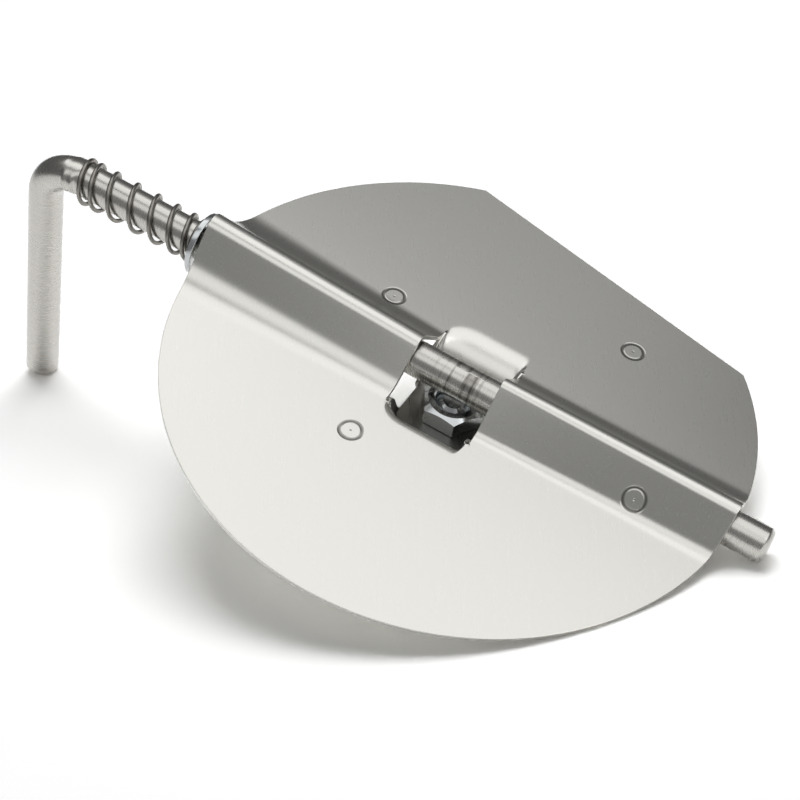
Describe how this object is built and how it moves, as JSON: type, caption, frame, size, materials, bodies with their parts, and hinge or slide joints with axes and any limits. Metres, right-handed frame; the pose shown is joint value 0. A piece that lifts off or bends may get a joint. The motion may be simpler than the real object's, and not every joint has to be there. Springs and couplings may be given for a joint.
{
  "type": "draft regulator",
  "caption": "Throttle plate for a round flue pipe: a pressed steel disc with a cut edge, clamped on a bent spindle with a handle, pressure spring and wall washer.",
  "frame": {"origin": "where the flue's axis crosses the spindle's axis; the round plate's centre lies 1.6 mm from it towards +Y", "axes": "+X along the spindle to its free end, +Y to the plate's cut edge, +Z square to the plate, up through its ridges"},
  "size_m": [0.1868, 0.1242, 0.0783],
  "materials": {
    "plate_steel": "satin rolled sheet",
    "rod_steel": "drawn rod, fine scratches round it",
    "spring_steel": "dark drawn spring wire",
    "zinc_plated_steel": "bluish zinc plating"
  },
  "bodies": {
    "spindle": {"spindle": "rod_steel", "pressure_spring": "spring_steel"},
    "damper": {"damper_plate": "plate_steel", "clamp_nut": "zinc_plated_steel"},
    "washer": {"wall_washer": "zinc_plated_steel"},
    "clamp": {"clamp_screw": "zinc_plated_steel"}
  },
  "joints": [
    {"name": "damper_turn", "type": "hinge", "parent": "spindle", "child": "damper", "pos_m": [0, 0, 0], "axis": [1, 0, 0], "continuous": true},
    {"name": "washer_slide", "type": "slide", "parent": "spindle", "child": "washer", "axis": [-1, 0, 0], "range_m": [0, 0.02], "stiffness_N_per_m": 2000, "deforming": ["pressure_spring"]},
    {"name": "clamp_feed", "type": "slide", "parent": "damper", "child": "clamp", "axis": [0, 0, 1], "range_m": [-0.002, 0.00195]}
  ]
}
